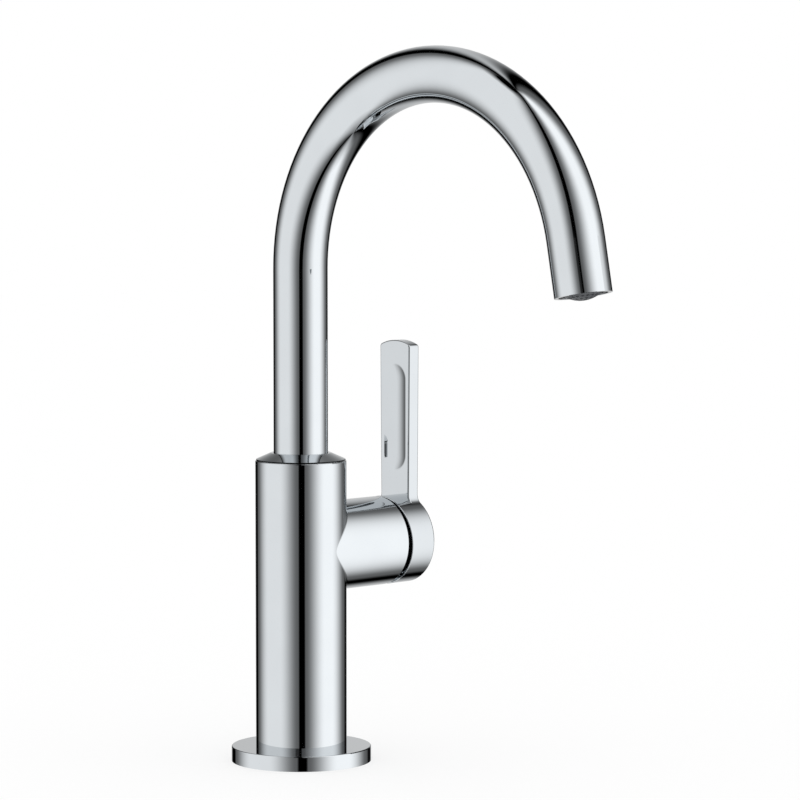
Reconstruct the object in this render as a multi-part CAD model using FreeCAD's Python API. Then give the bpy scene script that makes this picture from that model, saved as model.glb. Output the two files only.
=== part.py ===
import FreeCAD, Part
import math
import os

# Single-lever gooseneck bar faucet, in millimetres.
# Origin: centre of the base on the deck plane. +Z up, spout towards -Y, lever hub along +X.

# Column and base
body_diameter = 35.2
column_above_hub = 34.3       # top edge of the column above the hub axis
body_edge = 0.35              # rounded edge of the column's top and the hub's rim
hub_blend = 1.0               # hollow fillet where the hub leaves the column
base_diameter = 54.0
base_thickness = 5.8
base_edge = 0.4
base_rim = 2.0                # metal rim outside the gasket
gasket_thickness = 1.5
foot_recess = 1.0             # how deep the column's spigot stands in the base plate
foot_shoulder = 1.2           # width of the column's seat outside the spigot

# Spout
tube_diameter = 21.0
tube_wall = 1.5
upright_height = 74.0         # from the column's top edge to the start of the arch
bend_radius = 73.5
bend_sweep = 169.0            # degrees of arch
outlet_straight = 19.7

# Collar that closes the column round the spout
collar_height = 3.0
collar_lip = 0.5
collar_edge = 0.25
collar_ledge = 1.1            # flat ring between the cone and the tube
collar_thread = 28.0
collar_engagement = 4.8

# Spout foot and its socket
socket_diameter = 25.0
foot_height = 12.25
foot_bore = 15.0
o_ring_section = 1.8
o_ring_sides = 8
o_ring_pitch = 3.5
o_ring_count = 2
o_ring_room = 0.1             # each side of an O-ring in its groove
tube_engagement = 4.65
glide_thickness = 1.0

# Aerator
bush_length = 11.0
bush_inset = 0.8
aerator_thread = 16.4
aerator_wall = 0.9
aerator_rim = 0.45
aerator_rim_inset = 0.3
screen_rise = 1.8             # how far the domed screen stands out of the tube
screen_thickness = 0.8
screen_hole = 1.15
screen_pitch = 1.75
screen_rings = 3
regulator_thickness = 4.0
regulator_hole = 1.6
regulator_hole_circle = 7.8
aerator_gasket_thickness = 1.0
aerator_length = 7.4

# Side hub and cartridge seat
hub_height = 82.3             # hub axis above the deck
hub_step = 0.2                # how far the hub stays inside the column's width, each side
hub_reach = 41.2              # hub rim from the column axis
chamber_diameter = 25.2
chamber_depth = 31.4          # cartridge seat from the hub rim
nut_thread = 28.0
rim_recess_diameter = 30.6
rim_recess_depth = 4.0

# Cartridge
housing_wall = 2.1
housing_top = 2.1
flange_overhang = 1.0
flange_thickness = 2.5
base_disc = 1.25
base_spigot = 1.3
seal_squeeze = 0.25           # how far the port seals stand out of the base
seal_wall = 1.0
seal_depth = 1.5
inlet_port = 3.4
inlet_port_side = 3.8
inlet_port_rise = 2.6
outlet_port = 4.4
outlet_port_drop = 2.9
fixed_disc_thickness = 3.0
moving_disc_thickness = 2.5
moving_disc_diameter = 15.8
mixing_depth = 1.3
mixing_height = 6.8
mixing_width = 9.2
carrier_thickness = 3.2
carrier_key_width = 12.0
carrier_key_height = 2.0
drive_peg = 2.4
drive_peg_side = 5.5
drive_peg_length = 1.1
locating_peg = 2.4
locating_peg_side = 8.6
locating_peg_drop = 4.0
locating_peg_length = 1.6
guide_shoulder = 9.6
guide_neck_diameter = 17.2
guide_neck_length = 5.6
spindle_width = 6.0
spindle_ball = 5.0
spindle_neck = 3.4
spindle_arm = 8.0             # pivot to ball centre
pivot_depth = 11.7            # pivot from the hub rim
pivot_pin_diameter = 2.5
lever_travel = 22.0           # degrees from shut to full flow
nut_height = 6.6
nut_hex = 25.4                # across flats
nut_hex_height = 2.4
nut_bore = 18.4

# Lever
cap_gap = 2.0                 # between hub rim and cap on the axis
cap_slope = 2.8               # degrees, the cap's rim opens towards the bottom
cap_length = 12.0
cap_edge = 0.3
cap_wall = 1.4
cap_cup_depth = 4.9
blade_thickness = 5.4
blade_top = 78.6              # top of the blade above the hub axis
blade_top_width = 16.8
blade_root_width = 15.4
blade_crown = 1.9
blade_corner = 1.2
blade_edge = 0.65
blade_root_fillet = 4.0
scoop_length = 42.0
scoop_width = 12.4
scoop_depth = 1.2
scoop_edge = 1.5              # rounding of the scoop's rim
scoop_centre = 48.3           # above the hub axis
socket_boss_diameter = 13.0
socket_boss_height = 2.5
socket_end_wall = 1.9
set_screw_diameter = 5.0
set_screw_length = 6.0
set_screw_inset = 4.2         # screw axis from the cap's outer face
set_screw_hex = 2.5
plug_thickness = 1.3

# Inlets and mounting hardware
shank_diameter = 28.0
shank_bore = 24.0
shank_drop = 62.0             # lower end below the deck
shank_engagement = 10.0
shank_pocket = 12.0
hose_cavity_diameter = 26.0
hose_cavity_top = 30.0
inlet_thread = 9.0            # tapping size of the M10 x 1 hose threads
inlet_thread_length = 10.0
inlet_side = 6.0
inlet_block_height = 13.0
riser_diameter = 5.6
mixed_riser_diameter = 6.4
mixed_riser_offset = 6.0
deck_thickness = 30.0         # deck that the hardware is drawn clamped on
washer_diameter = 50.0
rubber_thickness = 3.0
steel_thickness = 2.0
nut_flange_diameter = 48.0
nut_flange_thickness = 6.0
mounting_hex = 38.0           # across flats
mounting_hex_height = 8.0
locking_screw_diameter = 5.0
locking_screw_length = 14.0
locking_screw_head = 8.0
locking_head_height = 2.5
locking_screw_circle = 42.0
locking_screw_count = 2

# Clearances
running = 0.06                # radial, a piece that turns in another
thread_fit = 0.10             # radial, screwed pieces and brazed joints
seat_gap = 0.05               # between faces that are pressed together
loose = 0.30                  # radial, a hole that only lets a piece through
slide_fit = 0.12              # each side of a sliding key or spindle
match = 0.01                  # for telling edges and faces apart

X = FreeCAD.Vector(1, 0, 0)
Y = FreeCAD.Vector(0, 1, 0)
Z = FreeCAD.Vector(0, 0, 1)

# Radii
body_r = body_diameter / 2
spigot_r = body_r - foot_shoulder
base_r = base_diameter / 2
tube_r = tube_diameter / 2
tube_bore_r = tube_r - tube_wall
socket_r = socket_diameter / 2
hub_r = body_r - hub_step
chamber_r = chamber_diameter / 2
shank_r = shank_diameter / 2
housing_r = chamber_r - 2 * thread_fit
housing_bore_r = housing_r - housing_wall
neck_r = guide_neck_diameter / 2
cap_bore_r = hub_r - cap_wall

# Heights in the column
foot_z = base_thickness - foot_recess
body_top = hub_height + column_above_hub
bend_start = body_top + upright_height
block_top = hose_cavity_top + inlet_block_height
collar_z = body_top - collar_engagement
upper_glide_z = collar_z - seat_gap - glide_thickness
foot_top = upper_glide_z - seat_gap
foot_bottom = foot_top - foot_height
socket_floor = foot_bottom - seat_gap - glide_thickness
tube_bottom = foot_top - tube_engagement

# Places along the hub axis, measured from the column axis
chamber_floor = hub_reach - chamber_depth
pivot_x = hub_reach - pivot_depth
base_x = chamber_floor + seal_squeeze
housing_x = base_x + base_disc
disc_x = housing_x + base_spigot
moving_x = disc_x + fixed_disc_thickness
carrier_x = moving_x + moving_disc_thickness
guide_x = carrier_x + carrier_thickness + 2 * seat_gap
key_top_x = guide_x + carrier_key_height
shoulder_x = guide_x + guide_shoulder
housing_end = shoulder_x + seat_gap + housing_top
flange_x = housing_end - flange_thickness
nut_x = housing_end + seat_gap
guide_end = shoulder_x + guide_neck_length
cap_x = hub_reach + cap_gap
cap_end = cap_x + cap_length
blade_x = cap_end - blade_thickness
cup_floor = cap_x + cap_cup_depth
shell_end = blade_x + 2 * blade_edge
socket_end = cap_end - socket_end_wall
ball_x = pivot_x - spindle_arm
disc_travel = spindle_arm * math.sin(math.radians(lever_travel))
shut_offset = -disc_travel / 2


def on_hub(along, side=0.0, rise=0.0):
    """Point near the hub axis: distance from the column, then sideways and up."""
    return FreeCAD.Vector(along, side, hub_height + rise)


def rod(radius, start, end):
    """Round bar between two points."""
    return Part.makeCylinder(radius, (end - start).Length, start, end - start)


def ring(outer, inner, start, end):
    """Plain ring or tube between two points."""
    return rod(outer, start, end).cut(rod(inner, start, end))


def turned(outline, origin, direction, radial):
    """Turned piece: the outline holds (radius, distance along the axis) pairs."""
    points = [origin + radial * radius + direction * along for radius, along in outline]
    face = Part.Face(Part.makePolygon(points + points[:1]))
    return face.revolve(origin, direction, 360)


def column(outline):
    """Turned piece on the column axis; heights are above the deck."""
    return turned(outline, FreeCAD.Vector(0, 0, 0), Z, X)


def on_hub_axis(outline):
    """Turned piece on the hub axis; distances are from the column axis."""
    return turned(outline, on_hub(0), X, Y)


def block(low, high):
    """Box between two corners."""
    size = high - low
    return Part.makeBox(size.x, size.y, size.z, low)


def rounded(shape, radius, place):
    """Fillet on the edge that runs through a point of the shape."""
    spot = Part.Vertex(place)
    return shape.makeFillet(radius, [edge for edge in shape.Edges if edge.distToShape(spot)[0] < match])


def hexagon_bar(across_flats, start, end):
    """Hexagonal bar between two points."""
    axis = (end - start).normalize()
    first = X if abs(axis.x) < 0.5 else Y
    corner = across_flats / math.sqrt(3)
    points = []
    for step in range(7):
        turn = FreeCAD.Rotation(axis, 60.0 * step)
        points.append(start + turn.multVec(first * corner))
    return Part.Face(Part.makePolygon(points)).extrude(end - start)


# Base

def base_plate():
    hole = shank_r + loose
    plate = column([
        (hole, gasket_thickness),
        (base_r - base_rim, gasket_thickness),
        (base_r - base_rim, 0),
        (base_r, 0),
        (base_r, base_thickness),
        (spigot_r + thread_fit, base_thickness),
        (spigot_r + thread_fit, foot_z - seat_gap),
        (hole, foot_z - seat_gap),
    ])
    return rounded(plate, base_edge, Y * base_r + Z * base_thickness)


def base_gasket():
    top = FreeCAD.Vector(0, 0, gasket_thickness)
    return ring(base_r - base_rim - seat_gap, shank_r + loose, FreeCAD.Vector(0, 0, 0), top)


# Column with its side hub

def body_outside():
    """Column and hub with rounded ends and a hollow fillet where they meet."""
    post = column([
        (0, foot_z),
        (spigot_r, foot_z),
        (spigot_r, base_thickness),
        (body_r, base_thickness),
        (body_r, body_top),
        (0, body_top),
    ])
    post = rounded(post, body_edge, Y * body_r + Z * body_top)
    hub = rounded(rod(hub_r, on_hub(0), on_hub(hub_reach)), body_edge, on_hub(hub_reach, -hub_r))
    meeting = math.sqrt(body_r ** 2 - hub_r ** 2)
    return rounded(post.fuse(hub), hub_blend, on_hub(meeting, -hub_r))


def spout_socket():
    collar_pocket = rod(collar_thread / 2 + thread_fit, Z * collar_z, Z * body_top)
    return rod(socket_r, Z * socket_floor, Z * body_top).fuse(collar_pocket)


def cartridge_chamber():
    thread_r = nut_thread / 2 + thread_fit
    return on_hub_axis([
        (0, chamber_floor),
        (chamber_r, chamber_floor),
        (chamber_r, flange_x),
        (thread_r, flange_x),
        (thread_r, hub_reach - rim_recess_depth),
        (rim_recess_diameter / 2, hub_reach - rim_recess_depth),
        (rim_recess_diameter / 2, hub_reach),
        (0, hub_reach),
    ])


def shank_and_hose_cavity():
    pocket = rod(shank_r + thread_fit, Z * foot_z, Z * (foot_z + shank_pocket))
    return rod(hose_cavity_diameter / 2, Z * foot_z, Z * (block_top + seat_gap)).fuse(pocket)


def inlet_foot(side):
    return FreeCAD.Vector(0, side * inlet_side, hose_cavity_top)


def inlet_way(side):
    """Riser from the inlet block and cross drilling to one inlet port of the cartridge."""
    riser_top = FreeCAD.Vector(0, side * inlet_side, hub_height + inlet_port_rise)
    riser = rod(riser_diameter / 2, inlet_foot(side), riser_top)
    cross_start = on_hub(0, side * inlet_port_side, inlet_port_rise)
    cross_end = on_hub(chamber_floor, side * inlet_port_side, inlet_port_rise)
    return riser.fuse(rod(inlet_port / 2, cross_start, cross_end))


def mixed_way():
    """Cross drilling from the outlet port and the riser to the spout socket."""
    port_z = hub_height - outlet_port_drop
    elbow = FreeCAD.Vector(-mixed_riser_offset, 0, port_z)
    cross = rod(outlet_port / 2, elbow, FreeCAD.Vector(chamber_floor, 0, port_z))
    riser_top = FreeCAD.Vector(-mixed_riser_offset, 0, socket_floor)
    return cross.fuse(rod(mixed_riser_diameter / 2, elbow, riser_top))


def peg_places():
    return [on_hub(0, side * locating_peg_side, -locating_peg_drop) for side in (-1, 1)]


def faucet_body():
    cuts = [spout_socket(), cartridge_chamber(), shank_and_hose_cavity(), mixed_way()]
    cuts += [inlet_way(side) for side in (-1, 1)]
    for place in peg_places():
        floor = place + X * (chamber_floor - locating_peg_length - seat_gap)
        cuts.append(rod(locating_peg / 2 + thread_fit, floor, place + X * chamber_floor))
    return body_outside().cut(cuts).removeSplitter()


def inlet_block():
    """Block brazed into the column's foot, with a thread for each supply hose."""
    plug = rod(hose_cavity_diameter / 2 - thread_fit, Z * hose_cavity_top, Z * block_top)
    for side in (-1, 1):
        foot = inlet_foot(side)
        thread = rod(inlet_thread / 2, foot, foot + Z * inlet_thread_length)
        plug = plug.cut([thread, rod(riser_diameter / 2, foot, foot + Z * inlet_block_height)])
    return plug


# Spout seat

def spout_collar():
    bore = tube_r + running
    foot_r = body_r - body_edge
    ledge_r = tube_r + collar_ledge
    ledge_z = body_top + collar_height
    collar = column([
        (bore, collar_z + seat_gap),
        (collar_thread / 2, collar_z + seat_gap),
        (collar_thread / 2, body_top),
        (foot_r, body_top),
        (foot_r, body_top + collar_lip),
        (ledge_r, ledge_z),
        (bore, ledge_z),
    ])
    collar = rounded(collar, collar_edge, Y * foot_r + Z * (body_top + collar_lip))
    return rounded(collar, collar_edge, Y * ledge_r + Z * ledge_z)


def upper_glide_ring():
    start = Z * upper_glide_z
    return ring(socket_r - running, tube_r + running, start, start + Z * glide_thickness)


def lower_glide_ring():
    start = Z * socket_floor
    return ring(socket_r - running, foot_bore / 2, start, start + Z * glide_thickness)


def o_ring_heights():
    first = foot_bottom + glide_thickness + o_ring_section / 2
    return [first + o_ring_pitch * index for index in range(o_ring_count)]


def spout_foot():
    foot = column([
        (foot_bore / 2, foot_bottom),
        (socket_r - running, foot_bottom),
        (socket_r - running, foot_top),
        (tube_r + thread_fit, foot_top),
        (tube_r + thread_fit, tube_bottom),
        (foot_bore / 2, tube_bottom),
    ])
    groove_floor = socket_r - running - o_ring_section - o_ring_room
    for height in o_ring_heights():
        half = Z * (o_ring_section / 2 + o_ring_room)
        foot = foot.cut(ring(socket_r, groove_floor, Z * height - half, Z * height + half))
    return foot


def o_ring(height):
    """Ring with a flat-sided section, as it lies squeezed in its groove."""
    middle = socket_r - running - o_ring_section / 2
    corner = o_ring_section / 2 / math.cos(math.pi / o_ring_sides)
    outline = []
    for side in range(o_ring_sides):
        turn = 2 * math.pi * (side + 0.5) / o_ring_sides
        outline.append((middle + corner * math.cos(turn), height + corner * math.sin(turn)))
    return column(outline)


def spout_o_rings():
    return Part.makeCompound([o_ring(height) for height in o_ring_heights()])


# Spout tube and aerator

def arch_point(angle):
    """Point on the tube's centre line, angle in degrees from the start of the arch."""
    turn = math.radians(angle)
    out = bend_radius * (1 - math.cos(turn))
    return FreeCAD.Vector(0, -out, bend_start + bend_radius * math.sin(turn))


def outlet_direction():
    turn = math.radians(bend_sweep)
    return FreeCAD.Vector(0, -math.sin(turn), math.cos(turn))


def outlet_centre():
    return arch_point(bend_sweep) + outlet_direction() * outlet_straight


def bent_bar(radius):
    """Solid bar of the tube's route: upright, arch and short straight outlet."""
    upright = rod(radius, Z * tube_bottom, Z * bend_start)
    circle = Part.makeCircle(radius, Z * bend_start, Z)
    section = Part.Face(Part.Wire(circle))
    arch = section.revolve(FreeCAD.Vector(0, -bend_radius, bend_start), X, bend_sweep)
    outlet = rod(radius, arch_point(bend_sweep), outlet_centre())
    return upright.fuse([arch, outlet]).removeSplitter()


def spout_tube():
    return bent_bar(tube_r).cut(bent_bar(tube_bore_r))


def at_outlet(outline):
    """Turned piece on the outlet axis; distances run from the outlet into the tube."""
    return turned(outline, outlet_centre(), outlet_direction() * -1, X)


def outlet_bush():
    outer = tube_bore_r - seat_gap
    thread = aerator_thread / 2 + thread_fit
    seat = bush_inset + aerator_length + aerator_gasket_thickness
    return at_outlet([
        (thread, bush_inset),
        (outer, bush_inset),
        (outer, bush_inset + bush_length),
        (thread - aerator_wall - 2 * thread_fit, bush_inset + bush_length),
        (thread - aerator_wall - 2 * thread_fit, seat),
        (thread, seat),
    ])


def aerator_bore_r():
    return aerator_thread / 2 - aerator_wall


def aerator_housing():
    outer = aerator_thread / 2
    rim_r = tube_bore_r - 2 * thread_fit
    return at_outlet([
        (aerator_bore_r(), aerator_rim_inset),
        (rim_r, aerator_rim_inset),
        (rim_r, aerator_rim_inset + aerator_rim),
        (outer, aerator_rim_inset + aerator_rim),
        (outer, bush_inset + aerator_length),
        (aerator_bore_r(), bush_inset + aerator_length),
    ])


def dome(radius, apex, inset):
    """Ball whose cap has the radius at the inset and its apex outside the outlet."""
    rise = apex + inset
    ball_r = (radius ** 2 + rise ** 2) / (2 * rise)
    centre = outlet_centre() + outlet_direction() * (apex - ball_r)
    return Part.makeSphere(ball_r, centre)


def screen_holes():
    """Hexagonal holes on rings, six more on each ring."""
    out = outlet_direction()
    side = out.cross(X)
    start = outlet_centre() - out * aerator_length
    end = outlet_centre() + out * (2 * screen_rise)
    holes = [hexagon_bar(screen_hole, start, end)]
    for index in range(1, screen_rings + 1):
        for step in range(6 * index):
            angle = 2 * math.pi * step / (6 * index)
            shift = X * math.cos(angle) + side * math.sin(angle)
            shift = shift * (screen_pitch * index)
            holes.append(hexagon_bar(screen_hole, start + shift, end + shift))
    return holes


def aerator_screen():
    radius = aerator_bore_r() - seat_gap
    inset = aerator_rim_inset + aerator_rim
    start = outlet_centre() - outlet_direction() * (inset + screen_thickness)
    blank = rod(radius, start, outlet_centre() + outlet_direction() * (2 * screen_rise))
    shell = dome(radius, screen_rise, inset)
    hollow = shell.copy()
    hollow.translate(outlet_direction() * -screen_thickness)
    skirt = ring(radius, radius - screen_thickness, start, start + outlet_direction() * screen_thickness)
    cap = blank.common(shell).cut(hollow)
    return cap.fuse(skirt).cut(screen_holes()).removeSplitter()


def flow_regulator():
    out = outlet_direction()
    start = outlet_centre() - out * (bush_inset + aerator_length)
    plate = rod(aerator_bore_r() - seat_gap, start, start + out * regulator_thickness)
    side = out.cross(X)
    radius = regulator_hole_circle / 2
    for step in range(6):
        angle = math.pi * step / 3
        place = start + (X * math.cos(angle) + side * math.sin(angle)) * radius
        plate = plate.cut(rod(regulator_hole / 2, place, place + out * regulator_thickness))
    return plate


def aerator_gasket():
    start = bush_inset + aerator_length
    outer = aerator_thread / 2 - seat_gap
    return at_outlet([
        (aerator_bore_r(), start),
        (outer, start),
        (outer, start + aerator_gasket_thickness),
        (aerator_bore_r(), start + aerator_gasket_thickness),
    ])


# Cartridge

def ports():
    """Each port of the cartridge: side, rise and radius."""
    inlets = [(side * inlet_port_side, inlet_port_rise, inlet_port / 2) for side in (-1, 1)]
    return inlets + [(0.0, -outlet_port_drop, outlet_port / 2)]


def cartridge_base():
    disc = on_hub_axis([
        (0, base_x),
        (housing_r, base_x),
        (housing_r, housing_x),
        (housing_bore_r - seat_gap, housing_x),
        (housing_bore_r - seat_gap, disc_x),
        (0, disc_x),
    ])
    for side, rise, radius in ports():
        disc = disc.cut(rod(radius, on_hub(base_x, side, rise), on_hub(disc_x, side, rise)))
        pocket_end = on_hub(chamber_floor + seal_depth, side, rise)
        disc = disc.cut(rod(radius + seal_wall, on_hub(base_x, side, rise), pocket_end))
    for place in peg_places():
        tip = place + X * (chamber_floor - locating_peg_length)
        disc = disc.fuse(rod(locating_peg / 2, tip, place + X * base_x))
    return disc


def port_seals():
    seals = []
    for side, rise, radius in ports():
        start = on_hub(chamber_floor, side, rise)
        end = on_hub(chamber_floor + seal_depth, side, rise)
        seals.append(ring(radius + seal_wall - seat_gap, radius, start, end))
    return Part.makeCompound(seals)


def cartridge_housing():
    return on_hub_axis([
        (housing_bore_r, housing_x),
        (housing_r, housing_x),
        (housing_r, flange_x),
        (housing_r + flange_overhang, flange_x),
        (housing_r + flange_overhang, housing_end),
        (neck_r + running, housing_end),
        (neck_r + running, shoulder_x + seat_gap),
        (housing_bore_r, shoulder_x + seat_gap),
    ])


def fixed_disc():
    disc = rod(housing_bore_r - loose, on_hub(disc_x), on_hub(moving_x))
    for side, rise, radius in ports():
        disc = disc.cut(rod(radius, on_hub(disc_x, side, rise), on_hub(moving_x, side, rise)))
    return disc


def drive_pegs(radius, length):
    """Pegs that tie the moving disc to its carrier."""
    places = [on_hub(carrier_x, side * drive_peg_side, shut_offset) for side in (-1, 1)]
    return [rod(radius, place - X * length, place) for place in places]


def moving_disc():
    radius = moving_disc_diameter / 2
    disc = rod(radius, on_hub(moving_x, 0, shut_offset), on_hub(carrier_x, 0, shut_offset))
    top = inlet_port_rise - inlet_port / 2 - 2 * loose
    low = on_hub(moving_x, -mixing_width / 2, top - mixing_height)
    high = on_hub(moving_x + mixing_depth, mixing_width / 2, top)
    chamber = block(low, high)
    return disc.cut([chamber] + drive_pegs(drive_peg / 2 + seat_gap, drive_peg_length + seat_gap))


def disc_carrier():
    radius = moving_disc_diameter / 2
    end = carrier_x + carrier_thickness
    plate = rod(radius, on_hub(carrier_x, 0, shut_offset), on_hub(end, 0, shut_offset))
    half = carrier_key_width / 2
    tall = radius - disc_travel
    key_low = on_hub(carrier_x, -half, -tall)
    key_high = on_hub(key_top_x - slide_fit, half, tall)
    carrier = plate.fuse([block(key_low, key_high)] + drive_pegs(drive_peg / 2, drive_peg_length))
    ball_room = spindle_ball / 2 + slide_fit
    return carrier.cut(rod(ball_room, on_hub(ball_x - ball_room), on_hub(guide_end)))


def guide_slot():
    """Slot that the spindle swings in, with room on the side it swings to."""
    tilt = math.radians(lever_travel)
    half = spindle_width / 2
    below = (guide_end - pivot_x) * math.tan(tilt) + half / math.cos(tilt) + loose
    above = (pivot_x - key_top_x) * math.sin(tilt) + half / math.cos(tilt) + loose
    low = on_hub(guide_x, -half - slide_fit, -below)
    high = on_hub(guide_end, half + slide_fit, above)
    return block(low, high)


def spindle_guide():
    guide = on_hub_axis([
        (0, guide_x),
        (housing_bore_r - running, guide_x),
        (housing_bore_r - running, shoulder_x),
        (neck_r, shoulder_x),
        (neck_r, guide_end),
        (0, guide_end),
    ])
    half = carrier_key_width / 2 + slide_fit
    keyway = block(on_hub(guide_x, -half, -chamber_r), on_hub(key_top_x, half, chamber_r))
    reach = Y * housing_bore_r
    pin_hole = rod(pivot_pin_diameter / 2 + seat_gap / 2, on_hub(pivot_x) - reach, on_hub(pivot_x) + reach)
    return guide.cut([guide_slot(), keyway, pin_hole])


def pivot_pin():
    reach = Y * (housing_bore_r - 2 * loose)
    return rod(pivot_pin_diameter / 2, on_hub(pivot_x) - reach, on_hub(pivot_x) + reach)


def spindle():
    half = spindle_width / 2
    bar_start = pivot_x - half - loose
    bar = block(on_hub(bar_start, -half, -half), on_hub(socket_end - loose, half, half))
    neck = rod(spindle_neck / 2, on_hub(ball_x), on_hub(bar_start + loose))
    ball = Part.makeSphere(spindle_ball / 2, on_hub(ball_x))
    reach = Y * spindle_width
    hole = rod(pivot_pin_diameter / 2 + running, on_hub(pivot_x) - reach, on_hub(pivot_x) + reach)
    return ball.fuse([neck, bar]).cut(hole)


def cartridge_nut():
    hex_x = nut_x + nut_height - nut_hex_height
    nut = rod(nut_thread / 2, on_hub(nut_x), on_hub(hex_x))
    nut = nut.fuse(hexagon_bar(nut_hex, on_hub(hex_x), on_hub(nut_x + nut_height)))
    return nut.cut(rod(nut_bore / 2, on_hub(nut_x), on_hub(nut_x + nut_height)))


# Lever: cap and blade are one casting

def blade_outline():
    """Face of the blade in its inner plane, a little crowned at the top."""
    root = blade_root_width / 2
    tip = blade_top_width / 2
    shoulder = blade_top - blade_crown
    left_root = on_hub(blade_x, -root, 0)
    right_root = on_hub(blade_x, root, 0)
    left_tip = on_hub(blade_x, -tip, shoulder)
    right_tip = on_hub(blade_x, tip, shoulder)
    crown = Part.Arc(right_tip, on_hub(blade_x, 0, blade_top), left_tip)
    edges = [
        Part.LineSegment(left_root, right_root).toShape(),
        Part.LineSegment(right_root, right_tip).toShape(),
        crown.toShape(),
        Part.LineSegment(left_tip, left_root).toShape(),
    ]
    return Part.Face(Part.Wire(edges))


def edges_along_x(shape, low, high):
    """Edges that run the slab's thickness, with their middle between two heights."""
    found = []
    for edge in shape.Edges:
        middle = edge.CenterOfMass
        across = abs(edge.Length - blade_thickness) < match
        if across and low < middle.z - hub_height < high:
            found.append(edge)
    return found


def lever_slab():
    """Blade and the cap's outer disc as one plate, with its corners rounded."""
    disc = rod(hub_r, on_hub(blade_x), on_hub(cap_end))
    slab = blade_outline().extrude(X * blade_thickness).fuse(disc).removeSplitter()
    slab = slab.makeFillet(blade_root_fillet, edges_along_x(slab, 0, hub_r + blade_root_fillet))
    slab = slab.makeFillet(blade_corner, edges_along_x(slab, blade_top / 2, blade_top))
    flats = [face for face in slab.Faces if face.BoundBox.XLength < match]
    rim = [edge for face in flats for edge in face.Edges]
    return slab.makeFillet(blade_edge, rim)


def blade():
    """Lever slab with the finger scoop in its inner face."""
    rim = on_hub(blade_x, scoop_width / 2, scoop_centre)
    return rounded(lever_slab().cut(scoop()), scoop_edge, rim)


def scoop():
    """Long shallow finger scoop: a round-ended bar laid into the blade's inner face."""
    half = scoop_width / 2
    radius = (half ** 2 + scoop_depth ** 2) / (2 * scoop_depth)
    axis_x = blade_x + scoop_depth - radius
    run = scoop_length / 2 - half
    low = on_hub(axis_x, 0, scoop_centre - run)
    high = on_hub(axis_x, 0, scoop_centre + run)
    return rod(radius, low, high).fuse([Part.makeSphere(radius, low), Part.makeSphere(radius, high)])


def cap_shell():
    return on_hub_axis([
        (0, hub_reach),
        (hub_r, hub_reach),
        (hub_r, shell_end),
        (0, shell_end),
    ])


def cap_hollow():
    """Cup inside the cap and everything on the hub's side of its sloping rim."""
    cup = on_hub_axis([
        (0, hub_reach),
        (cap_bore_r, hub_reach),
        (cap_bore_r, cup_floor),
        (0, cup_floor),
    ])
    reach = 2 * hub_r
    front = block(on_hub(cap_x - reach, -reach, -reach), on_hub(cap_x, reach, reach))
    front.rotate(on_hub(cap_x), Y, -cap_slope)
    boss_x = cup_floor - socket_boss_height
    boss = rod(socket_boss_diameter / 2, on_hub(boss_x), on_hub(cup_floor))
    return cup.cut(boss).fuse(front)


def screw_hole():
    place = on_hub(cap_end - set_screw_inset)
    return rod(set_screw_diameter / 2, place, place - Z * (hub_r + loose))


def handle():
    half = spindle_width / 2 + seat_gap
    boss_x = cup_floor - socket_boss_height
    square = block(on_hub(boss_x, -half, -half), on_hub(socket_end, half, half))
    lever = blade().fuse(cap_shell()).removeSplitter().cut(cap_hollow())
    return rounded(lever, cap_edge, on_hub(cap_x, -hub_r)).cut([square, screw_hole()])


def handle_set_screw():
    top = on_hub(cap_end - set_screw_inset, 0, -spindle_width / 2 - seat_gap)
    foot = top - Z * set_screw_length
    screw = rod(set_screw_diameter / 2 - seat_gap, foot, top)
    return screw.cut(hexagon_bar(set_screw_hex, foot, foot + Z * set_screw_length / 2))


def screw_plug():
    top = on_hub(cap_end - set_screw_inset, 0, plug_thickness - hub_r)
    plug = rod(set_screw_diameter / 2 - seat_gap, top, top - Z * (plug_thickness + loose))
    return plug.common(rod(hub_r - seat_gap, on_hub(cap_x), on_hub(cap_end)))


# Mounting hardware below the deck

def mounting_shank():
    return ring(shank_r, shank_bore / 2, Z * -shank_drop, Z * (foot_z + shank_engagement))


def rubber_washer():
    top = Z * -deck_thickness
    return ring(washer_diameter / 2, shank_r + loose, top - Z * rubber_thickness, top)


def metal_washer():
    top = Z * (-deck_thickness - rubber_thickness)
    return ring(washer_diameter / 2, shank_r + loose, top - Z * steel_thickness, top)


def screw_places():
    radius = locking_screw_circle / 2
    places = []
    for step in range(locking_screw_count):
        turn = 2 * math.pi * step / locking_screw_count
        places.append(X * (radius * math.cos(turn)) + Y * (radius * math.sin(turn)))
    return places


def mounting_nut():
    top = Z * (-deck_thickness - rubber_thickness - steel_thickness)
    flange_foot = top - Z * nut_flange_thickness
    foot = flange_foot - Z * mounting_hex_height
    nut = rod(nut_flange_diameter / 2, flange_foot, top)
    nut = nut.fuse(hexagon_bar(mounting_hex, foot, flange_foot))
    nut = nut.cut(rod(shank_r + thread_fit, foot, top))
    for place in screw_places():
        nut = nut.cut(rod(locking_screw_diameter / 2 + thread_fit, place + foot, place + top))
        head_room = rod(locking_screw_head / 2 + loose, place + foot, place + flange_foot)
        nut = nut.cut(head_room)
    return nut


def locking_screws():
    top = Z * (-deck_thickness - rubber_thickness - steel_thickness)
    screws = []
    for place in screw_places():
        foot = place + top - Z * locking_screw_length
        shaft = rod(locking_screw_diameter / 2, foot, place + top)
        head = rod(locking_screw_head / 2, foot - Z * locking_head_height, foot)
        screws.append(shaft.fuse(head))
    return Part.makeCompound(screws)


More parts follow.
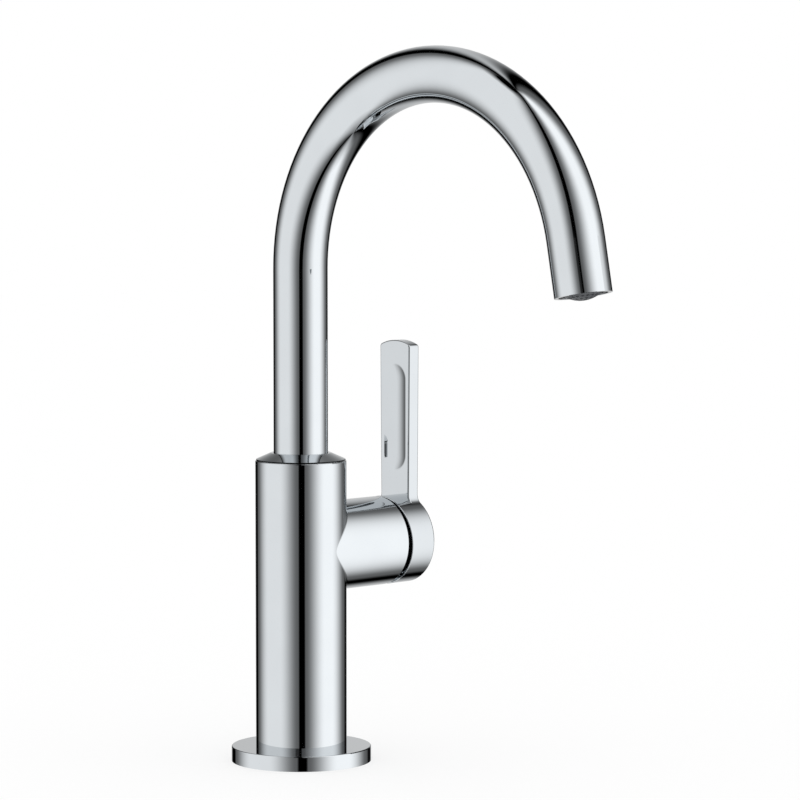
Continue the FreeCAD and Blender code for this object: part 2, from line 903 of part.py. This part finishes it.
pieces = [
    base_plate, base_gasket, faucet_body, inlet_block,
    spout_collar, upper_glide_ring, lower_glide_ring, spout_foot, spout_o_rings,
    spout_tube, outlet_bush, aerator_housing, aerator_screen, flow_regulator, aerator_gasket,
    cartridge_base, port_seals, cartridge_housing, fixed_disc, moving_disc, disc_carrier,
    spindle_guide, pivot_pin, spindle, cartridge_nut,
    handle, handle_set_screw, screw_plug,
    mounting_shank, rubber_washer, metal_washer, mounting_nut, locking_screws,
]

os.makedirs("parts", exist_ok=True)
for piece in pieces:
    shape = piece()
    shape.exportStep("parts/" + piece.__name__ + ".step")
    print(piece.__name__, len(shape.Solids), round(shape.Volume, 1), shape.isValid())
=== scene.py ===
import math

import bmesh
import bpy
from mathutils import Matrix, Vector


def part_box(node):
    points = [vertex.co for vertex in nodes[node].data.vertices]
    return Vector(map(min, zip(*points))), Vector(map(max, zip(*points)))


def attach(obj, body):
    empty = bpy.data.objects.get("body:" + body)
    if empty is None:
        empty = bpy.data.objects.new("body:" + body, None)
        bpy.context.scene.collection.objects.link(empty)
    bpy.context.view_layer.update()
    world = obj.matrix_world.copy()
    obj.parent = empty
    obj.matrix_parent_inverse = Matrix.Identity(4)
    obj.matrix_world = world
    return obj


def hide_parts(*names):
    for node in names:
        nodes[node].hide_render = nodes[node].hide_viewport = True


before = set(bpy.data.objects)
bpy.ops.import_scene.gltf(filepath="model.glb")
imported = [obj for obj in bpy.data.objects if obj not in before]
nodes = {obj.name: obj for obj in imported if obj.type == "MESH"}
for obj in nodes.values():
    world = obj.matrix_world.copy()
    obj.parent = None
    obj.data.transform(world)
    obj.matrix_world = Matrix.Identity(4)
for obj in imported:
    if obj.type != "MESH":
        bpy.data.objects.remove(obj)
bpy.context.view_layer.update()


# Base plate: a 54 mm brass disc, turned, polished and chrome plated, that hides the deck
# hole. A black EPDM gasket lies in its underside and seals it to the deck.

def linear(code):
    """Linear colour of an sRGB hex value."""
    shares = [int(code[start:start + 2], 16) / 255 for start in (1, 3, 5)]
    return (*[s / 12.92 if s <= 0.04045 else ((s + 0.055) / 1.055) ** 2.4 for s in shares], 1.0)


def add(tree, kind, sockets, **settings):
    """Adds a node with its settings; a socket takes a value, or a link from another node."""
    made = kind if isinstance(kind, bpy.types.Node) else tree.nodes.new(kind)
    for name, value in settings.items():
        setattr(made, name, value)
    for name, value in sockets.items():
        if isinstance(value, bpy.types.NodeSocket):
            tree.links.new(value, made.inputs[name])
        else:
            made.inputs[name].default_value = value
    return made


def finish_named(name):
    """New material with its node tree, its surface shader and its place in the object."""
    made = bpy.data.materials.new(name)
    made.use_nodes = True
    tree = made.node_tree
    place = add(tree, "ShaderNodeTexCoord", {}).outputs["Object"]
    return made, tree, tree.nodes["Principled BSDF"], place


def dress(finish, *names):
    """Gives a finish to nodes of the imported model."""
    for name in names:
        materials = nodes[name].data.materials
        materials.clear()
        materials.append(finish)


# Bright chrome over nickel on buffed brass: a cool, near perfect mirror. Buffing leaves a
# waviness a few millimetres long and well under a micron high, and a trace of haze.
buffing_wave = 0.007
buffing_haze = 0.018
buffing_height = 1e-7
chrome, tree, surface, place = finish_named("polished_chrome_plate")
haze = add(tree, "ShaderNodeTexNoise", {"Vector": place, "Scale": 1 / buffing_haze, "Detail": 4.0})
tone = add(tree, "ShaderNodeValToRGB", {"Fac": haze.outputs["Fac"]})
tone.color_ramp.elements[0].color = linear("#C1C5C8")
tone.color_ramp.elements[1].color = linear("#C8CCCF")
gloss = add(tree, "ShaderNodeMapRange", {"Value": haze.outputs["Fac"], "To Min": 0.02, "To Max": 0.045})
wave = add(tree, "ShaderNodeTexNoise", {"Vector": place, "Scale": 1 / buffing_wave, "Detail": 1.0})
relief = add(tree, "ShaderNodeBump", {"Height": wave.outputs["Fac"], "Distance": buffing_height})
add(tree, surface, {
    "Base Color": tone.outputs["Color"],
    "Metallic": 1.0,
    "Roughness": gloss.outputs["Result"],
    "Normal": relief.outputs["Normal"],
})

# Moulded EPDM: black, matt and slightly uneven, with the fine grain of the mould.
mould_grain = 0.0004
bloom_patch = 0.012
rubber, tree, surface, place = finish_named("moulded_epdm_rubber")
grain = add(tree, "ShaderNodeTexNoise", {"Vector": place, "Scale": 1 / mould_grain, "Detail": 3.0})
bloom = add(tree, "ShaderNodeTexNoise", {"Vector": place, "Scale": 1 / bloom_patch, "Detail": 5.0})
tone = add(tree, "ShaderNodeValToRGB", {"Fac": bloom.outputs["Fac"]})
tone.color_ramp.elements[0].color = linear("#17181A")
tone.color_ramp.elements[1].color = linear("#26282B")
gloss = add(tree, "ShaderNodeMapRange", {"Value": grain.outputs["Fac"], "To Min": 0.6, "To Max": 0.85})
relief = add(tree, "ShaderNodeBump", {"Height": grain.outputs["Fac"], "Distance": 2e-5})
add(tree, surface, {
    "Base Color": tone.outputs["Color"],
    "Roughness": gloss.outputs["Result"],
    "IOR": 1.52,
    "Normal": relief.outputs["Normal"],
})

dress(chrome, "base_plate")
dress(rubber, "base_gasket")


# Column with its side hub: one brass casting, machined inside, then buffed and plated with
# the same chrome. A plain brass block with the two hose threads is brazed into its foot.

# CZ121 brass as it leaves the lathe: warm yellow, satin, with feed marks round the axis.
# The real marks are 0.1 mm apart; they are drawn 0.5 mm apart, so that they show.
feed_mark = 0.0005
patina_patch = 0.006
brass, tree, surface, place = finish_named("turned_brass")
marks = add(tree, "ShaderNodeTexWave", {
    "Vector": place,
    "Scale": math.pi / 10 / feed_mark,
    "Distortion": 0.6,
    "Detail": 2.0,
}, bands_direction="Z")
patina = add(tree, "ShaderNodeTexNoise", {"Vector": place, "Scale": 1 / patina_patch, "Detail": 4.0})
tone = add(tree, "ShaderNodeValToRGB", {"Fac": patina.outputs["Fac"]})
tone.color_ramp.elements[0].color = linear("#C6A862")
tone.color_ramp.elements[1].color = linear("#DEC588")
gloss = add(tree, "ShaderNodeMapRange", {"Value": marks.outputs["Fac"], "To Min": 0.22, "To Max": 0.36})
relief = add(tree, "ShaderNodeBump", {"Height": marks.outputs["Fac"], "Distance": 8e-6})
add(tree, surface, {
    "Base Color": tone.outputs["Color"],
    "Metallic": 1.0,
    "Roughness": gloss.outputs["Result"],
    "Normal": relief.outputs["Normal"],
})

dress(chrome, "faucet_body")
dress(brass, "inlet_block")


# Spout seat: a coned chrome collar screws into the column over two acetal glide rings. The
# tube is brazed into a brass foot that carries the O-rings.

# Natural acetal (POM): milky white with a soft gloss from the mould.
acetal_cloud = 0.005
acetal, tree, surface, place = finish_named("moulded_natural_acetal")
cloud = add(tree, "ShaderNodeTexNoise", {"Vector": place, "Scale": 1 / acetal_cloud, "Detail": 3.0})
tone = add(tree, "ShaderNodeValToRGB", {"Fac": cloud.outputs["Fac"]})
tone.color_ramp.elements[0].color = linear("#E6E4DB")
tone.color_ramp.elements[1].color = linear("#F1F0E9")
gloss = add(tree, "ShaderNodeMapRange", {"Value": cloud.outputs["Fac"], "To Min": 0.32, "To Max": 0.45})
relief = add(tree, "ShaderNodeBump", {"Height": cloud.outputs["Fac"], "Distance": 1e-5})
add(tree, surface, {
    "Base Color": tone.outputs["Color"],
    "Roughness": gloss.outputs["Result"],
    "IOR": 1.48,
    "Normal": relief.outputs["Normal"],
})

# Chrome with a painted dark hairline where the plate stops at the joint of collar and column: painted shade
# of the narrow gap there, with a little tarnish. The real line is about 0.1 mm; it is drawn 0.5 mm, so that
# it shows.
joint_shade_width = 0.0005
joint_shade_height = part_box("faucet_body")[1].z + joint_shade_width * 0.6
chrome_with_joint_shade = chrome.copy()
chrome_with_joint_shade.name = "polished_chrome_plate_with_painted_joint_shade"
tree = chrome_with_joint_shade.node_tree
surface = tree.nodes["Principled BSDF"]
plate = surface.inputs["Base Color"].links[0].from_socket
place = add(tree, "ShaderNodeTexCoord", {}).outputs["Object"]
spot = add(tree, "ShaderNodeSeparateXYZ", {"Vector": place})
# Painted shade: a near black band on the collar just above the column's top, standing in for the shadow in
# the joint.
joint_shade_band = add(tree, "ShaderNodeMath", {
    0: spot.outputs["Z"],
    1: joint_shade_height,
    2: joint_shade_width / 2,
}, operation="COMPARE")
tone = add(tree, "ShaderNodeMix", {
    0: joint_shade_band.outputs["Value"],
    6: plate,
    7: linear("#101112"),
}, data_type="RGBA")
add(tree, surface, {"Base Color": tone.outputs[2]})

dress(chrome_with_joint_shade, "spout_collar")
dress(acetal, "upper_glide_ring", "lower_glide_ring")
dress(brass, "spout_foot")
dress(rubber, "spout_o_rings")


# Spout: 21 mm brass tube, drawn, bent on a mandrel and plated after its foot and outlet
# bush are brazed in. It swivels on the foot.

dress(chrome, "spout_tube")
dress(brass, "outlet_bush")


# Aerator: a black acetal housing screwed into the bush, with a perforated regulator and a
# domed grey screen that stands a little out of the tube.

# Black acetal: deep black, smooth, with a soft gloss.
# The cartridge nut gets this black too, as painted shade for the dark gap round the lever cap.
flow_mark = 0.003
black_acetal_and_nut_shade, tree, surface, place = finish_named("moulded_black_acetal_and_painted_nut_shade")
flow = add(tree, "ShaderNodeTexNoise", {"Vector": place, "Scale": 1 / flow_mark, "Detail": 4.0})
tone = add(tree, "ShaderNodeValToRGB", {"Fac": flow.outputs["Fac"]})
tone.color_ramp.elements[0].color = linear("#141517")
tone.color_ramp.elements[1].color = linear("#1F2022")
gloss = add(tree, "ShaderNodeMapRange", {"Value": flow.outputs["Fac"], "To Min": 0.3, "To Max": 0.45})
relief = add(tree, "ShaderNodeBump", {"Height": flow.outputs["Fac"], "Distance": 1e-5})
add(tree, surface, {
    "Base Color": tone.outputs["Color"],
    "Roughness": gloss.outputs["Result"],
    "IOR": 1.48,
    "Normal": relief.outputs["Normal"],
})

# Screen of grey acetal: a satin mid grey that looks darker in its small holes.
screen_flow_mark = 0.0015
screen_grey, tree, surface, place = finish_named("moulded_grey_screen")
flow = add(tree, "ShaderNodeTexNoise", {"Vector": place, "Scale": 1 / screen_flow_mark, "Detail": 4.0})
tone = add(tree, "ShaderNodeValToRGB", {"Fac": flow.outputs["Fac"]})
tone.color_ramp.elements[0].color = linear("#4B4D50")
tone.color_ramp.elements[1].color = linear("#626568")
gloss = add(tree, "ShaderNodeMapRange", {"Value": flow.outputs["Fac"], "To Min": 0.35, "To Max": 0.5})
relief = add(tree, "ShaderNodeBump", {"Height": flow.outputs["Fac"], "Distance": 2e-5})
add(tree, surface, {
    "Base Color": tone.outputs["Color"],
    "Roughness": gloss.outputs["Result"],
    "IOR": 1.48,
    "Normal": relief.outputs["Normal"],
})

dress(black_acetal_and_nut_shade, "aerator_housing", "flow_regulator")
dress(screen_grey, "aerator_screen")
dress(rubber, "aerator_gasket")


# Cartridge: acetal base and housing with two lapped ceramic discs. A stainless spindle tilts on its pin in a
# black guide, and a nut clamps it all in the hub; the nut is coloured black as painted shade, which keeps the
# gap round the lever cap dark.

# Lapped alumina: ivory white, dense and very smooth.
ceramic_speck = 0.0008
ceramic, tree, surface, place = finish_named("lapped_alumina_ceramic")
speck = add(tree, "ShaderNodeTexNoise", {"Vector": place, "Scale": 1 / ceramic_speck, "Detail": 6.0})
tone = add(tree, "ShaderNodeValToRGB", {"Fac": speck.outputs["Fac"]})
tone.color_ramp.elements[0].color = linear("#EAE6DA")
tone.color_ramp.elements[1].color = linear("#F4F2EA")
gloss = add(tree, "ShaderNodeMapRange", {"Value": speck.outputs["Fac"], "To Min": 0.12, "To Max": 0.2})
add(tree, surface, {
    "Base Color": tone.outputs["Color"],
    "Roughness": gloss.outputs["Result"],
    "IOR": 1.76,
})

# Stainless steel, cold drawn: neutral grey, satin, with fine drawing lines.
# The real lines are about 0.05 mm apart; they are drawn 0.3 mm apart, so that they show.
drawing_line = 0.0003
stainless, tree, surface, place = finish_named("drawn_stainless_steel")
lines = add(tree, "ShaderNodeTexWave", {
    "Vector": place,
    "Scale": math.pi / 10 / drawing_line,
    "Distortion": 1.5,
    "Detail": 2.0,
}, bands_direction="X")
tone = add(tree, "ShaderNodeValToRGB", {"Fac": lines.outputs["Fac"]})
tone.color_ramp.elements[0].color = linear("#B4B6B8")
tone.color_ramp.elements[1].color = linear("#CFD1D3")
gloss = add(tree, "ShaderNodeMapRange", {"Value": lines.outputs["Fac"], "To Min": 0.22, "To Max": 0.34})
relief = add(tree, "ShaderNodeBump", {"Height": lines.outputs["Fac"], "Distance": 4e-6})
add(tree, surface, {
    "Base Color": tone.outputs["Color"],
    "Metallic": 1.0,
    "Roughness": gloss.outputs["Result"],
    "Normal": relief.outputs["Normal"],
})

dress(acetal, "cartridge_base", "cartridge_housing", "disc_carrier")
dress(rubber, "port_seals")
dress(ceramic, "fixed_disc", "moving_disc")
# The nut's black is painted shade: it keeps the gap round the cap dark.
dress(black_acetal_and_nut_shade, "spindle_guide", "cartridge_nut")
dress(stainless, "pivot_pin", "spindle")


# Lever: cap and scooped blade in one zinc casting, buffed and plated. A set screw from
# below holds it on the spindle, under a small push-in plug.

# Chrome on zinc: the same cool mirror, coloured a shade darker than on the brass as painted shade, so that
# the lever reads darker than the column.
lever_chrome_painted_darker = chrome.copy()
lever_chrome_painted_darker.name = "chrome_plated_zinc_painted_darker"
tone = next(node for node in lever_chrome_painted_darker.node_tree.nodes if node.bl_idname == "ShaderNodeValToRGB")
tone.color_ramp.elements[0].color = linear("#B9BDC0")
tone.color_ramp.elements[1].color = linear("#C0C4C7")

dress(lever_chrome_painted_darker, "handle")
dress(stainless, "handle_set_screw")
dress(screen_grey, "screw_plug")


# Mounting hardware: a 28 mm threaded brass shank through the deck, with a rubber and a
# steel washer, a flanged brass nut and two locking screws drawn up from below.

def skinned(name, loops, capped):
    """Mesh over closed loops of points; its ends are capped, or its last loop meets the first."""
    shape = bmesh.new()
    rows = [[shape.verts.new(point) for point in loop] for loop in loops]
    pairs = list(zip(rows, rows[1:]))
    if capped:
        shape.faces.new(rows[0])
        shape.faces.new(rows[-1])
    else:
        pairs.append((rows[-1], rows[0]))
    for low, high in pairs:
        for step in range(len(low)):
            after = (step + 1) % len(low)
            shape.faces.new((low[step], low[after], high[after], high[step]))
    bmesh.ops.recalc_face_normals(shape, faces=shape.faces)
    mesh = bpy.data.meshes.new(name)
    shape.to_mesh(mesh)
    shape.free()
    mesh.shade_smooth()
    mesh.set_sharp_from_angle(angle=math.radians(35))
    piece = bpy.data.objects.new(name, mesh)
    bpy.context.scene.collection.objects.link(piece)
    return piece


def thread_loops(centre, crest, depth, pitch, low, high, sides):
    """Loops of a cut thread on an upright bar, run out over one pitch at both ends."""
    samples_per_turn = 6
    flank_slope = 3.2
    crest_share = 0.3
    count = round((high - low) / pitch * samples_per_turn)
    loops = []
    for index in range(count + 1):
        height = low + (high - low) * index / count
        fade = min(1.0, (height - low) / pitch, (high - height) / pitch)
        loop = []
        for side in range(sides):
            turn = side / sides
            phase = (height / pitch - turn) % 1.0
            cut = min(1.0, max(0.0, abs(phase - 0.5) * flank_slope - crest_share))
            radius = crest - depth * max(cut, 1.0 - fade)
            angle = 2 * math.pi * turn
            loop.append((centre[0] + radius * math.cos(angle), centre[1] + radius * math.sin(angle), height))
        loops.append(loop)
    return loops


def round_loop(centre, radius, height, sides):
    """Round outline on an upright axis."""
    return [(
        centre[0] + radius * math.cos(2 * math.pi * side / sides),
        centre[1] + radius * math.sin(2 * math.pi * side / sides),
        height,
    ) for side in range(sides)]


shank_low, shank_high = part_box("mounting_shank")
shank_radius = shank_high.x
shank_bore = 0.012
shank_pitch = 0.0015
shank_thread_depth = 0.0009
thread_top = -0.002
thread_chamfer = 0.0008
shank_sides = 64
axis = (0.0, 0.0)
loops = thread_loops(
    axis, shank_radius, shank_thread_depth, shank_pitch, shank_low.z, thread_top, shank_sides,
)
loops.append(round_loop(axis, shank_radius, thread_top + thread_chamfer, shank_sides))
loops.append(round_loop(axis, shank_radius, shank_high.z, shank_sides))
loops.append(round_loop(axis, shank_bore, shank_high.z, shank_sides))
loops.append(round_loop(axis, shank_bore, shank_low.z, shank_sides))
shank = skinned("threaded_shank", loops, capped=False)
shank.data.materials.append(brass)
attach(shank, "faucet")
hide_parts("mounting_shank")

# Locking screws: M5 grub-threaded steel screws with a low head and a hexagon socket.
screws_low, screws_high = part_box("locking_screws")
screw_place = 0.021
screw_radius = 0.0025
screw_pitch = 0.0008
screw_thread_depth = 0.0004
head_radius = 0.004
head_height = 0.0025
head_edge = 0.0003
socket_corner = 0.0023
socket_depth = 0.0015
screw_sides = 24


def hexagon_loop(centre, corner, height, sides):
    """Hexagon outline with as many points as the round loops round it."""
    loop = []
    for side in range(sides):
        angle = 2 * math.pi * side / sides
        from_corner = angle % (math.pi / 3) - math.pi / 6
        reach = corner * math.cos(math.pi / 6) / math.cos(from_corner)
        loop.append((centre[0] + reach * math.cos(angle), centre[1] + reach * math.sin(angle), height))
    return loop


head_top = screws_low.z + head_height
for number, place in enumerate(((screw_place, 0.0), (-screw_place, 0.0)), start=1):
    loops = [
        hexagon_loop(place, socket_corner, screws_low.z + socket_depth, screw_sides),
        hexagon_loop(place, socket_corner, screws_low.z, screw_sides),
        round_loop(place, head_radius - head_edge, screws_low.z, screw_sides),
        round_loop(place, head_radius, screws_low.z + head_edge, screw_sides),
        round_loop(place, head_radius, head_top, screw_sides),
    ]
    loops += thread_loops(
        place, screw_radius, screw_thread_depth, screw_pitch, head_top, screws_high.z, screw_sides,
    )
    screw = skinned(f"locking_screw_{number}", loops, capped=True)
    screw.data.materials.append(stainless)
    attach(screw, "faucet")
    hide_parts("locking_screws")

dress(rubber, "rubber_washer")
dress(stainless, "metal_washer")
dress(brass, "mounting_nut")


# Studio: white sweep under a plain dome of light. Reflections show two tall feathered strip
# lights instead, left and right of the camera, with black flags between and behind them.

scene = bpy.context.scene
scene.view_settings.view_transform = "Standard"


def studio_plane(name, corners):
    """Flat piece of studio equipment, which is no part of the faucet."""
    mesh = bpy.data.meshes.new(name)
    mesh.from_pydata(corners, [], [(0, 1, 2, 3)])
    plane = bpy.data.objects.new(name, mesh)
    scene.collection.objects.link(plane)
    return plane


# White paper, matt. The camera sees it lifted, so that the shadow stays pale. Reflections
# don't show it: below the horizon too they show the strip lights.
half = 3.0
paper_lift = 0.65
floor = studio_plane("floor", [
    (-half, -half, 0.0), (half, -half, 0.0), (half, half, 0.0), (-half, half, 0.0),
])
floor.visible_glossy = False
paper, tree, surface, place = finish_named("white_paper_sweep")
add(tree, surface, {"Base Color": linear("#FFFFFF"), "Roughness": 0.9, "Specular IOR Level": 0.0})
paths = add(tree, "ShaderNodeLightPath", {})
lifted = add(tree, "ShaderNodeMath", {
    0: paths.outputs["Is Camera Ray"],
    1: paper_lift,
}, operation="MULTIPLY")
glow = add(tree, "ShaderNodeEmission", {"Color": linear("#FFFFFF"), "Strength": 1.0})
sweep = add(tree, "ShaderNodeMixShader", {
    0: lifted.outputs["Value"],
    1: surface.outputs["BSDF"],
    2: glow.outputs["Emission"],
})
add(tree, tree.nodes["Material Output"], {"Surface": sweep.outputs["Shader"]})
floor.data.materials.append(paper)

# Camera: at the photograph's angle, square to no face of the faucet.
camera_turn = math.radians(43.647)
camera_tilt = math.radians(4.413)
camera_place = Vector((-0.9269, -1.0271, 0.24657))
camera = bpy.data.objects.new("camera", bpy.data.cameras.new("camera"))
scene.collection.objects.link(camera)
scene.camera = camera
camera.location = camera_place
gaze = Vector((
    math.sin(camera_turn) * math.cos(camera_tilt),
    math.cos(camera_turn) * math.cos(camera_tilt),
    -math.sin(camera_tilt),
))
camera.rotation_euler = gaze.to_track_quat("-Z", "Y").to_euler()
camera.data.sensor_width = 36.0
camera.data.lens = 162.2

# World: a white dome for the camera and for matt light, and the strips for reflections.
world = bpy.data.worlds.new("studio")
scene.world = world
world.use_nodes = True
tree = world.node_tree
tree.nodes.clear()


def strip_lights(tree, turn, lean):
    """What reflections show round the horizon, in degrees from the camera to its right.

    A strip light stands on each side of the camera. The flag between them leans by some
    degrees, and a narrow flag behind each strip parts it from the pale sweep.
    """
    flag, feather, sweep, left_light, right_light = "#000000", "#585858", "#A8A8A8", "#D8D8D8", "#F0F0F0"
    stops = [
        (-180, sweep), (-155, flag), (-142, flag), (-135, feather), (-90, left_light), (-55, left_light),
        (lean - 6, feather), (lean - 3, flag), (lean + 10, flag), (lean + 13, feather),
        (65, right_light), (85, right_light), (135, feather), (150, flag), (158, flag), (180, sweep),
    ]
    ramp = add(tree, "ShaderNodeValToRGB", {"Fac": turn})
    ramp.color_ramp.interpolation = "EASE"
    elements = ramp.color_ramp.elements
    elements[0].position, elements[0].color = 0.0, linear(stops[0][1])
    elements[1].position, elements[1].color = 1.0, linear(stops[-1][1])
    for degrees, grey in stops[1:-1]:
        elements.new(degrees / 360 + 0.5).color = linear(grey)
    return ramp.outputs["Color"]


sight = add(tree, "ShaderNodeTexCoord", {}).outputs["Generated"]
turned = add(tree, "ShaderNodeVectorRotate", {"Vector": sight, "Angle": camera_turn}, rotation_type="Z_AXIS")
parts = add(tree, "ShaderNodeSeparateXYZ", {"Vector": turned.outputs["Vector"]})
front = add(tree, "ShaderNodeMath", {0: parts.outputs["Y"], 1: -1.0}, operation="MULTIPLY")
bearing = add(tree, "ShaderNodeMath", {0: parts.outputs["X"], 1: front.outputs["Value"]}, operation="ARCTAN2")
turn = add(tree, "ShaderNodeMapRange", {
    "Value": bearing.outputs["Value"],
    "From Min": -math.pi,
    "From Max": math.pi,
})

# Below and above the height of the lamps: the flag leans left as it rises.
low_strips = strip_lights(tree, turn.outputs["Result"], 0)
high_strips = strip_lights(tree, turn.outputs["Result"], -9)


def dark_patch(tree, sight, centre, inner, outer, least):
    """Share of light round a dark patch: least inside the inner angle, all outside the outer."""
    near = add(tree, "ShaderNodeVectorMath", {0: sight, 1: centre}, operation="DOT_PRODUCT")
    away = add(tree, "ShaderNodeMath", {0: near.outputs["Value"]}, operation="ARCCOSINE")
    return add(tree, "ShaderNodeMapRange", {
        "Value": away.outputs["Value"],
        "From Min": math.radians(inner),
        "From Max": math.radians(outer),
        "To Min": least,
    }).outputs["Result"]


# The strips end in a dark ceiling, a little left of overhead, and in a dark spot underfoot.
ceiling_lean = math.radians(7)
overhead = (-math.sin(ceiling_lean), 0.0, math.cos(ceiling_lean))
foot_lean = math.radians(4)
below = (0.0, -math.sin(foot_lean), -math.cos(foot_lean))
view = turned.outputs["Vector"]
ceiling = dark_patch(tree, view, overhead, inner=6, outer=15, least=0.0)
underfoot = dark_patch(tree, view, below, inner=0, outer=28, least=0.15)
open_sky = add(tree, "ShaderNodeMath", {0: ceiling, 1: underfoot}, operation="MULTIPLY")

# Only reflections show the strips. Chrome sends back a little over half of the light, so at
# this strength a strip at its brightest shows as near white in it.
strip_strength = 1.8
strength = add(tree, "ShaderNodeMath", {
    0: open_sky.outputs["Value"],
    1: strip_strength,
}, operation="MULTIPLY")
low_light, high_light = [
    add(tree, "ShaderNodeBackground", {"Color": strips, "Strength": strength.outputs["Value"]})
    for strips in (low_strips, high_strips)
]
lean_start, lean_end = -0.07, 0.30
lamp_height = add(tree, "ShaderNodeMapRange", {
    "Value": parts.outputs["Z"],
    "From Min": lean_start,
    "From Max": lean_end,
}, interpolation_type="SMOOTHSTEP")
reflected = add(tree, "ShaderNodeMixShader", {
    0: lamp_height.outputs["Result"],
    1: low_light.outputs["Background"],
    2: high_light.outputs["Background"],
})
dome = add(tree, "ShaderNodeBackground", {"Color": linear("#FFFFFF"), "Strength": 1.0})
paths = add(tree, "ShaderNodeLightPath", {})
seen = add(tree, "ShaderNodeMixShader", {
    0: paths.outputs["Is Glossy Ray"],
    1: dome.outputs["Background"],
    2: reflected.outputs["Shader"],
})
add(tree, "ShaderNodeOutputWorld", {"Surface": seen.outputs["Shader"]})
